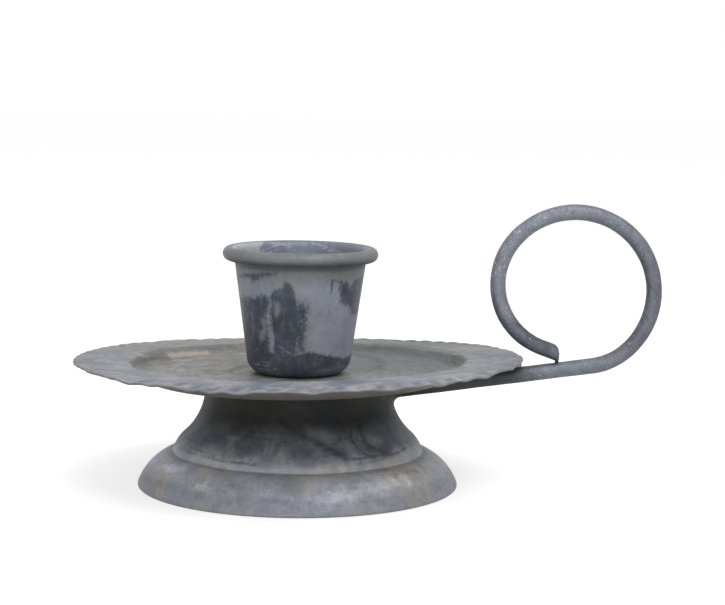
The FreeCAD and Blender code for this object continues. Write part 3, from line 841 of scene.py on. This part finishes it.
def fixing_nut():
    """A hexagon, half its flats over the cosine of the angle from the nearest flat, cut by a
    bevel at both ends, with a round bore."""
    low, high = NUT_BOX[0][2], NUT_BOX[1][2]
    flat = NUT_BOX[1][1]
    corner = flat / math.cos(math.pi / 6)
    bore = SHANK_RADIUS + NUT_PLAY
    bends = (low, low + END_BEVEL, high - END_BEVEL, high)
    heights = joined(*[np.linspace(first, last, 6) for first, last in zip(bends, bends[1:])])
    section = joined(
        np.stack([np.full(len(heights), corner), heights], 1),
        straight((corner, high), (bore, high), 8),
        straight((bore, high), (bore, low), 6),
        straight((bore, low), (corner, low), 8),
    )[:-1]

    def hexagon(r, z, a, s, side):
        reach = flat / np.cos(np.pi / 6 - (a % (np.pi / 3)))
        cone = flat + (corner - flat) * np.clip(np.minimum(z - low, high - z) / END_BEVEL, 0, 1)
        share = (r - bore) / (corner - bore)
        return bore + (np.minimum(reach, cone) - bore) * share, z, {"along": z}
    nut = turned(section, np.ones(len(section)), FIXING_AROUND, hexagon)
    return piece("hexagon_nut", [nut], fixing_finish(), "fixings", "fixing_nut", flat=True)


# Finishes

def tone(red, green, blue):
    """Linear colour of three screen levels from 0 to 255."""
    levels = [level / 255 for level in (red, green, blue)]
    linear = [v / 12.92 if v <= 0.04045 else ((v + 0.055) / 1.055) ** 2.4 for v in levels]
    return (*linear, 1)


class Nodes:
    """Short calls that add nodes to a tree."""

    def __init__(self, tree):
        self.tree = tree

    def feed(self, socket, value):
        if isinstance(value, bpy.types.NodeSocket):
            self.tree.links.new(value, socket)
        else:
            socket.default_value = value

    def node(self, kind, *values, inputs={}, **settings):
        """The outputs of a new node with its settings, whose inputs are linked or set in order,
        or by the names or numbers in inputs."""
        made = self.tree.nodes.new(kind)
        for name, value in settings.items():
            setattr(made, name, value)
        for key, value in {**dict(enumerate(values)), **inputs}.items():
            self.feed(made.inputs[key], value)
        return made.outputs

    def math(self, operation, *values):
        return self.node("ShaderNodeMath", *values, operation=operation)[0]

    def seen_directly(self):
        """1 for a ray from the camera, a mirror or glass, and 0 for light that falls on things."""
        rays = self.node("ShaderNodeLightPath")
        seen = self.math("MAXIMUM", rays["Is Camera Ray"], rays["Is Glossy Ray"])
        return self.math("MAXIMUM", seen, rays["Is Transmission Ray"])


class Finish(Nodes):
    """A material on the Principled shader. Its patterns read the place in millimetres, or the
    place in rings: the direction from the axis, and a distance along the section."""

    def __init__(self, name, metallic, specular):
        self.material = bpy.data.materials.new(name)
        self.material.use_nodes = True
        super().__init__(self.material.node_tree)
        self.shader = self.tree.nodes["Principled BSDF"]
        self.shader.inputs["Metallic"].default_value = metallic
        self.shader.inputs["Specular IOR Level"].default_value = specular
        self.place = self.vector("MULTIPLY", self.node("ShaderNodeTexCoord")["Object"], (1000, 1000, 1000))
        self.flat = self.vector("MULTIPLY", self.place, (1, 1, 0))
        self.x, self.y, self.z = self.split(self.place)

    def vector(self, operation, *values):
        made = self.node("ShaderNodeVectorMath", *values, operation=operation)
        return made["Value" if operation == "LENGTH" else "Vector"]

    def split(self, vector):
        return self.node("ShaderNodeSeparateXYZ", vector)

    def join(self, *values):
        return self.node("ShaderNodeCombineXYZ", *values)[0]

    def value(self, name):
        return self.node("ShaderNodeAttribute", attribute_name=name, attribute_type="GEOMETRY")["Fac"]

    def times(self, first, second):
        return self.math("MULTIPLY", first, second)

    def rest(self, value):
        return self.math("SUBTRACT", 1.0, value)

    def blend(self, first, second, share):
        """The second value for its share, and the first for the rest."""
        return self.math("MULTIPLY_ADD", second, share, self.times(first, 1 - share))

    def rings(self, around, across, along):
        """The direction from the axis times a radius around, and along times across."""
        x, y, z = self.split(self.vector("NORMALIZE", self.flat))
        return self.join(self.times(x, around), self.times(y, around), self.times(along, across))

    def noise(self, size, detail=4.0, rough=0.55, seed=0.0, place=None, stretch=(1, 1, 1), warp=0.0):
        """Soft noise about 0.5 whose blots are about a size in millimetres across."""
        scale, shift = tuple(s / size for s in stretch), (seed * 7.3, seed * 3.1, seed)
        place = self.vector("MULTIPLY_ADD", place or self.place, scale, shift)
        inputs = {"Scale": 1.0, "Detail": detail, "Roughness": rough, "Distortion": warp}
        return self.node("ShaderNodeTexNoise", place, inputs=inputs)["Fac"]

    def grain(self, seed):
        """Fine even grain of the dulled coat, about 0.5."""
        return self.noise(0.45, 5, 0.7, seed)

    def spread(self, value, low, high, first=0.0, last=1.0):
        """first below low, last above high, and a smooth step between them."""
        values = (value, low, high, first, last)
        return self.node("ShaderNodeMapRange", *values, interpolation_type="SMOOTHSTEP")[0]

    def mix(self, share, first, second, blend="MIX"):
        inputs = {0: share, 6: first, 7: second}
        return self.node("ShaderNodeMix", inputs=inputs, data_type="RGBA", blend_type=blend)[2]

    def tones(self, value, low, high, first, second):
        """A screen colour below low, another above high."""
        return self.mix(self.spread(value, low, high), tone(*first), tone(*second))

    def tint(self, colour, share, most, *levels):
        """The colour mixed with a screen colour, up to its greatest share."""
        return self.mix(self.times(share, most), colour, tone(*levels))

    def scaled(self, colour, *spread):
        """The colour times a brightness that spreads with a value."""
        return self.mix(1.0, colour, self.spread(*spread), "MULTIPLY")

    def level(self, noise, low, high):
        """A value that goes from low to high with a noise."""
        return self.spread(noise, 0.3, 0.7, low, high)

    def shade(self, colour, noise, low, high):
        """The colour times a brightness that goes from low to high with a noise."""
        return self.mix(1.0, colour, self.level(noise, low, high), "MULTIPLY")

    def patches(self, name, torn, ragged, low, high):
        """Painted field with edges torn by a noise: 0 outside its marks and 1 well inside."""
        field = self.value(name)
        worn = self.math("MULTIPLY_ADD", self.math("SUBTRACT", torn, 0.5), ragged, field)
        return self.times(self.spread(worn, low, high), self.spread(field, 0.02, 0.2))

    def finish(self, colour, roughness, height, depth):
        """Colour, roughness and a bump of a depth in millimetres."""
        inputs = {"Strength": 1.0, "Distance": depth * MM, "Height": height}
        bump = self.node("ShaderNodeBump", inputs=inputs)
        for name, value in {"Base Color": colour, "Roughness": roughness, "Normal": bump[0]}.items():
            self.feed(self.shader.inputs[name], value)
        return self.material


def foot_finish():
    """Spun foot: near black under the plate, partly dark patina and partly painted shade, slate on the
    shoulder and clouded grey on the bell, with pale curls, a painted highlight along the crease, painted
    light on the bell's top and the shoulder's foot against the plate's shade, painted shade on the ledge
    under the crease, and the marks of the spinning."""
    f = Finish("foot_zinc_patina", 0.25, 0.3)
    clouds = f.noise(9, 5, 0.62, 1, warp=0.5)
    warm = f.noise(16, 3, 0.5, 2)
    bell = f.tones(warm, 0.42, 0.62, (150, 154, 164), (160, 158, 156))
    # Painted light on the bell's upper part against the plate's shade, then painted shade on the ledge just
    # under the crease
    bell = f.scaled(bell, f.z, 3, 7.5, 1, 1.75)
    bell = f.scaled(bell, f.z, 8.5, 9.3, 1, 0.74)
    shoulder = f.tones(clouds, 0.4, 0.62, (112, 116, 126), (142, 143, 148))
    # Painted light: the shoulder lighter towards the crease, against the plate's shade
    shoulder = f.scaled(shoulder, f.z, 15, 10, 1, 1.5)
    # Near black towards the top under the plate: partly dark patina, partly painted shade
    dark = f.tones(warm, 0.4, 0.6, (29, 31, 35), (37, 37, 32))
    wander = f.math("MULTIPLY_ADD", f.noise(7, 4, 0.6, 3), 5, f.z)
    colour = f.mix(f.spread(wander, 11.5, 15), bell, shoulder)
    colour = f.mix(f.spread(wander, 15.5, 24), colour, dark)
    colour = f.tint(colour, f.value("warmth"), 0.4, 162, 156, 146)
    colour = f.shade(colour, clouds, 0.88, 1.12)
    spun = f.noise(1, 3, 0.6, 4, place=f.rings(2, 1.6, f.z))
    colour = f.shade(colour, spun, 0.96, 1.04)
    colour = f.shade(colour, f.noise(3.4, 7, 0.72, 5, warp=0.6), 0.86, 1.14)
    colour = f.shade(colour, f.grain(6), 0.9, 1.1)
    # Smears and clouds, with painted shade up both sides of the neck and shoulder
    stain_and_shade = f.patches("stain_and_shade", f.noise(1.8, 6, 0.7, 7), 1, 0.05, 0.8)
    # Pale clouds and curls, and a painted highlight along the crease
    bloom_and_highlight = f.patches("bloom_and_highlight", f.noise(2.2, 6, 0.7, 8), 1.1, 0.05, 0.95)
    colour = f.scaled(colour, bloom_and_highlight, 0, 1, 1, 1.7)
    colour = f.scaled(colour, stain_and_shade, 0, 1, 1, 0.56)
    colour = f.tint(colour, f.rest(f.value("face")), 0.8, 84, 84, 80)
    return f.finish(colour, f.level(clouds, 0.5, 0.66), f.blend(spun, f.noise(0.7, 5, 0.6, 9), 0.7), 0.05)


def plate_finish():
    """Pressed plate: a mottled blue-grey brim with fine strokes across it and lilac dabs, painted
    lighter at the front and with painted shade at the back right, a warmer well with brushed rings, a
    dark streaked half and painted shade on its back wall, painted shade and highlights on the crimps,
    a painted highlight low in the well at the back left, and a dark underside, partly painted shade."""
    f = Finish("plate_zinc_patina", 0.3, 0.35)
    radius = f.vector("LENGTH", f.flat)
    clouds = f.noise(8, 6, 0.65, 11, warp=0.6)
    rings = f.noise(1, 5, 0.65, 12, place=f.rings(4, 0.8, radius))
    across = f.noise(1, 5, 0.65, 13, place=f.rings(52, 0.2, radius))
    brushed = f.noise(1, 6, 0.7, 23, place=f.rings(7, 1.7, radius))
    brim = f.tones(clouds, 0.38, 0.62, (122, 126, 137), (150, 151, 155))
    warm = f.spread(f.math("MULTIPLY_ADD", f.noise(14, 3, 0.5, 21), 60, f.y), 30, 75)
    brim = f.tint(brim, warm, 0.7, 146, 145, 137)
    # Painted light and shade: the brim lighter towards the front and darker at the back right
    brim = f.scaled(brim, f.y, -24, -50, 1, 1.15)
    shaded = f.times(f.spread(f.y, 22, 46), f.spread(f.x, 0, 30))
    brim = f.tint(brim, shaded, 0.75, 102, 104, 108)
    brim = f.shade(f.shade(brim, across, 0.9, 1.08), brushed, 0.86, 1.14)
    well = f.tones(clouds, 0.38, 0.62, (128, 128, 124), (152, 151, 150))
    slate = f.spread(f.math("MULTIPLY_ADD", f.noise(12, 4, 0.6, 22, warp=0.6), 30, f.x), 14, 34)
    well = f.tint(well, slate, f.spread(f.y, -14, 10, 0.15, 0.75), 98, 103, 112)
    # Painted shade on the well's wall, most at the back
    wall = f.spread(radius, 41.2, 43)
    well = f.tint(well, wall, f.spread(f.y, -10, 20, 0, 0.45), 112, 110, 104)
    well = f.shade(well, rings, 0.79, 1.17)
    colour = f.mix(f.spread(radius, 44.2, 45.4, 1, 0), brim, well)
    lilac = f.noise(5, 5, 0.6, 14, warp=0.8)
    colour = f.mix(f.spread(lilac, 0.56, 0.7, 0, 0.3), colour, tone(126, 131, 158))
    painted = f.patches("lilac", f.noise(1.6, 5, 0.65, 24), 1, 0.1, 0.8)
    colour = f.tint(colour, painted, 0.42, 112, 118, 152)
    colour = f.shade(colour, clouds, 0.9, 1.08)
    colour = f.shade(colour, f.noise(2.2, 6, 0.7, 15), 0.87, 1.12)
    colour = f.shade(colour, f.grain(16), 0.93, 1.07)
    # Painted shade in the crimps' troughs and a painted highlight on their ridges
    spotty = f.spread(f.noise(4, 4, 0.55, 17), 0.36, 0.58, 0.15, 1)
    colour = f.tint(colour, f.times(f.value("trough"), spotty), 0.6, 96, 100, 116)
    colour = f.tint(colour, f.times(f.value("ridge"), spotty), 0.5, 188, 184, 174)
    # Stains and streaks, with painted shade in the well's corner at the left and right
    stain_and_shade = f.patches("stain_and_shade", f.noise(1.5, 6, 0.7, 18), 1.2, 0.1, 0.75)
    # A painted highlight low on the well's wall at the back left, and pale marks on the floor
    bloom_and_highlight = f.patches("bloom_and_highlight", f.noise(1.6, 5, 0.65, 19), 1, 0.1, 1.1)
    colour = f.tint(colour, stain_and_shade, 0.62, 70, 71, 66)
    colour = f.tint(colour, bloom_and_highlight, 0.75, 206, 192, 182)
    # The underside and the lower half of the rim's rounded edge darker: partly their own olive colour,
    # partly painted shade
    colour = f.tint(colour, f.rest(f.value("face")), 0.85, 98, 97, 88)
    return f.finish(colour, f.level(clouds, 0.48, 0.62), f.blend(rings, f.noise(0.9, 5, 0.6, 20), 0.7), 0.06)


def cup_finish():
    """Pressed cup: light grey zinc with torn slate patches, a slate band round the bottom, a smooth lip
    with painted shade under it and a painted highlight on top, and a slate inside with pale wipes."""
    f = Finish("cup_zinc_patina", 0.25, 0.35)
    inside = f.value("inside")
    clouds = f.noise(7, 5, 0.6, 31, warp=0.5)
    light = f.tones(f.noise(12, 3, 0.5, 32), 0.42, 0.58, (150, 154, 160), (152, 157, 171))
    light = f.tint(light, f.spread(f.z, 53.5, 59), 0.75, 124, 129, 127)
    light = f.mix(inside, f.shade(light, clouds, 0.88, 1.08), tone(184, 186, 191))
    slate = f.tones(clouds, 0.4, 0.6, (66, 72, 83), (84, 89, 100))
    slate = f.scaled(slate, f.z, 34.5, 31.5, 1, 1.4)
    slate = f.mix(inside, slate, tone(125, 131, 145))
    torn = f.blend(f.noise(1, 6, 0.7, 34, stretch=(0.9, 0.9, 0.22)), f.noise(1.1, 7, 0.78, 33), 0.6)
    thin = f.spread(f.noise(1.6, 6, 0.75, 35, stretch=(1, 1, 0.5)), 0.34, 0.5, 0.75, 1)
    stain_and_shade = f.times(f.patches("stain_and_shade", torn, 2, 0.24, 0.74), thin)
    colour = f.mix(stain_and_shade, light, slate)
    bloom_and_highlight = f.patches("bloom_and_highlight", f.noise(0.9, 5, 0.65, 37), 1, 0.2, 0.9)
    pale = f.mix(inside, tone(148, 151, 160), tone(196, 198, 204))
    colour = f.mix(f.times(bloom_and_highlight, 0.65), colour, pale)
    # Painted shade in the crevice under the lip on the outside
    shade_under_lip = f.scaled(f.scaled(colour, f.z, 58.2, 59.6, 1, 0.5), f.z, 60, 60.6, 1, 2)
    colour = f.mix(inside, shade_under_lip, colour)
    # The lip's bead: painted shade on its underside, rising to a painted highlight on top
    bead = f.scaled(f.shade(tone(122, 123, 127), clouds, 0.9, 1.1), f.z, 60.5, 62.6, 0.7, 1.06)
    colour = f.mix(f.times(f.spread(f.z, 59.7, 60.4, 0, 0.95), f.rest(inside)), colour, bead)
    specks = f.noise(0.8, 3, 0.6, 38)
    colour = f.mix(f.spread(specks, 0.68, 0.74, 0, 0.25), colour, tone(150, 150, 152))
    colour = f.shade(colour, f.noise(1.8, 6, 0.7, 39), 0.92, 1.08)
    colour = f.shade(colour, f.grain(40), 0.94, 1.06)
    rough = f.math("MULTIPLY_ADD", stain_and_shade, -0.1, 0.56)
    return f.finish(colour, rough, f.blend(stain_and_shade, f.noise(0.7, 5, 0.6, 41), 0.6), 0.04)


# How much the rod is rubbed pale all over, and where it is more so: distance along it from its
# root, reach to each side, and level. The ring's lower right is the darkest place
SCUFFED = 0.5
SCUFFED_PLACES = [(133, 30, 1.0), (162, 6, 0.8), (62, 10, 0.6)]
DARKEST_PLACE = 78


def rod_finish():
    """Rod: blue-grey with pale specks and scuffs, most on the bends, painted shade along its edges,
    and dark where it lies in the plate's shelter, partly dark patina and partly painted shade."""
    f = Finish("rod_zinc_patina", 0.25, 0.35)
    along, inner, beside = f.value("along"), f.value("inner"), f.value("beside")
    clouds = f.noise(5, 5, 0.62, 51, warp=0.5)
    colour = f.tones(clouds, 0.38, 0.62, (104, 109, 121), (132, 136, 146))
    colour = f.shade(colour, f.noise(1.3, 6, 0.72, 52), 0.84, 1.14)
    # Painted shade: the rod darker at its edges, where its face turns within the ring's plane, than along
    # its middle
    colour = f.scaled(colour, f.math("ABSOLUTE", inner), 0.35, 1, 1.08, 0.68)
    rubbed = SCUFFED
    for place, reach, level in SCUFFED_PLACES:
        away = f.math("ABSOLUTE", f.math("SUBTRACT", along, place))
        rubbed = f.math("MAXIMUM", rubbed, f.spread(away, reach * 0.4, reach, level, 0))
    pale = f.times(rubbed, f.spread(along, 148, 156, 0.5, 0))
    colour = f.mix(pale, colour, tone(150, 154, 165))
    round_rod = f.join(f.times(inner, 2.8), f.times(beside, 2.8), f.times(along, 0.8))
    strewn = f.spread(f.noise(5, 4, 0.6, 53), 0.4, 0.56, 0.2, 1)
    specks = f.spread(f.noise(0.8, 6, 0.75, 54, place=round_rod), 0.56, 0.62)
    specks = f.times(specks, f.times(strewn, rubbed))
    colour = f.mix(specks, colour, tone(206, 208, 214))
    grease = f.noise(2.6, 6, 0.7, 55, warp=1.0)
    colour = f.mix(f.spread(grease, 0.56, 0.64, 0, 0.4), colour, tone(78, 83, 96))
    away = f.math("ABSOLUTE", f.math("SUBTRACT", along, DARKEST_PLACE))
    colour = f.scaled(colour, away, 8, 26, 0.71, 1)
    colour = f.scaled(colour, along, 154, 163, 1, 0.62)
    # Near black towards the root under the plate: partly dark patina, partly painted shade
    colour = f.mix(f.spread(along, 45, 29, 0, 0.85), colour, tone(46, 47, 46))
    colour = f.shade(colour, f.grain(56), 0.9, 1.1)
    rough = f.level(clouds, 0.46, 0.62)
    return f.finish(colour, rough, f.blend(specks, f.noise(0.8, 5, 0.6, 57), 0.7), 0.06)


def braze_finish():
    """Braze dulled by the same coat, lumpier and darker than the rod."""
    f = Finish("dulled_braze", 0.25, 0.35)
    clouds = f.noise(2.5, 5, 0.6, 61, warp=0.4)
    colour = f.tones(clouds, 0.4, 0.62, (52, 53, 50), (78, 78, 72))
    colour = f.shade(colour, f.grain(62), 0.9, 1.1)
    lumps = f.blend(f.noise(1.6, 4, 0.6, 63), f.grain(64), 0.4)
    return f.finish(colour, f.level(clouds, 0.5, 0.7), lumps, 0.12)


def fixing_finish():
    """Dull zinc plated steel with a few brown specks."""
    f = Finish("plated_fixing", 0.45, 0.4)
    clouds = f.noise(2.2, 5, 0.6, 71, warp=0.3)
    colour = f.tones(clouds, 0.4, 0.6, (112, 115, 118), (140, 142, 142))
    colour = f.tint(colour, f.spread(f.noise(0.9, 4, 0.6, 72), 0.62, 0.7), 0.6, 92, 78, 64)
    colour = f.shade(colour, f.grain(73), 0.93, 1.07)
    return f.finish(colour, f.level(clouds, 0.38, 0.55), f.grain(74), 0.03)


# Stage: floor, background, lamps and camera

FLOOR_BOUNCE = 0.5
FLOOR_GLOW = 0.62
FLOOR_SHADE = 0.8
FLOOR_HALF = 3.0
SKY_LIGHT = 0.46
LAMPS = {"soft_overhead": ((160, -260, 620), 520, 2.0), "soft_front": ((-60, -640, 150), 420, 0.9)}
LAMP_TARGET = np.array((0, 0, 35.0))
CAMERA_PLACE = (16.9, -542.6, 115.49)
CAMERA_PITCH = 6.97
CAMERA_ROLL = 0.69
CAMERA_LENS = 101.8


def placed(name, data, place, rotation):
    """An object of the stage, at a place in millimetres."""
    shown = bpy.data.objects.new(name, data)
    shown.matrix_world = Matrix.Translation(np.array(place) * MM) @ rotation
    bpy.context.scene.collection.objects.link(shown)
    return shown


def floor():
    """A plain floor that looks white where it is lit and keeps a soft shadow."""
    material = bpy.data.materials.new("pale_floor")
    material.use_nodes = True
    material.node_tree.nodes.clear()
    n = Nodes(material.node_tree)
    greys = [(level, level, level, 1) for level in (FLOOR_BOUNCE, FLOOR_GLOW, FLOOR_SHADE)]
    bounce = n.node("ShaderNodeBsdfDiffuse", greys[0])[0]
    glow = n.node("ShaderNodeEmission", greys[1])[0]
    shadowed = n.node("ShaderNodeBsdfDiffuse", greys[2])[0]
    both = n.node("ShaderNodeAddShader", glow, shadowed)[0]
    choice = n.node("ShaderNodeMixShader", n.seen_directly(), bounce, both)[0]
    n.node("ShaderNodeOutputMaterial", choice)
    corners = [(x * FLOOR_HALF, y * FLOOR_HALF, 0) for x, y in ((-1, -1), (1, -1), (1, 1), (-1, 1))]
    mesh = bpy.data.meshes.new("floor")
    mesh.from_pydata(corners, [], [(0, 1, 2, 3)])
    mesh.materials.append(material)
    ground = placed("floor", mesh, (0, 0, 0), Matrix())


def sky():
    """Even light from all round, white where it is seen."""
    world = bpy.data.worlds.new("studio")
    bpy.context.scene.world = world
    world.use_nodes = True
    background = world.node_tree.nodes["Background"]
    background.inputs["Color"].default_value = (1, 1, 1, 1)
    n = Nodes(world.node_tree)
    strength = n.node("ShaderNodeMapRange", n.seen_directly(), inputs={"To Min": SKY_LIGHT, "To Max": 1.0})
    n.feed(background.inputs["Strength"], strength[0])


def lamp(name, place, size, power):
    """A square area lamp that faces the cup."""
    light = bpy.data.lights.new(name, "AREA")
    light.size = size * MM
    light.energy = power
    away = np.array(place) - LAMP_TARGET
    tilt = math.acos(away[2] / np.linalg.norm(away))
    turn = math.atan2(away[0], -away[1])
    placed(name, light, place, Matrix.Rotation(turn, 4, "Z") @ Matrix.Rotation(tilt, 4, "X"))


def camera():
    """The photograph's viewpoint: level with a small pitch down and a slight roll."""
    view = bpy.data.cameras.new("camera")
    view.sensor_width = 36.0
    view.lens = CAMERA_LENS
    view.clip_end = 20.0
    pitch = Matrix.Rotation(math.radians(90 - CAMERA_PITCH), 4, "X")
    roll = Matrix.Rotation(math.radians(CAMERA_ROLL), 4, "Z")
    bpy.context.scene.camera = placed("camera", view, CAMERA_PLACE, pitch @ roll)


bpy.context.scene.view_settings.view_transform = "Standard"
camera()
floor()
sky()
for lamp_name, settings in LAMPS.items():
    lamp(lamp_name, *settings)
foot_shell()
drip_plate()
candle_cup()
ring_handle()
handle_braze()
ring_tip_braze()
fixing_screw()
fixing_washer()
fixing_nut()
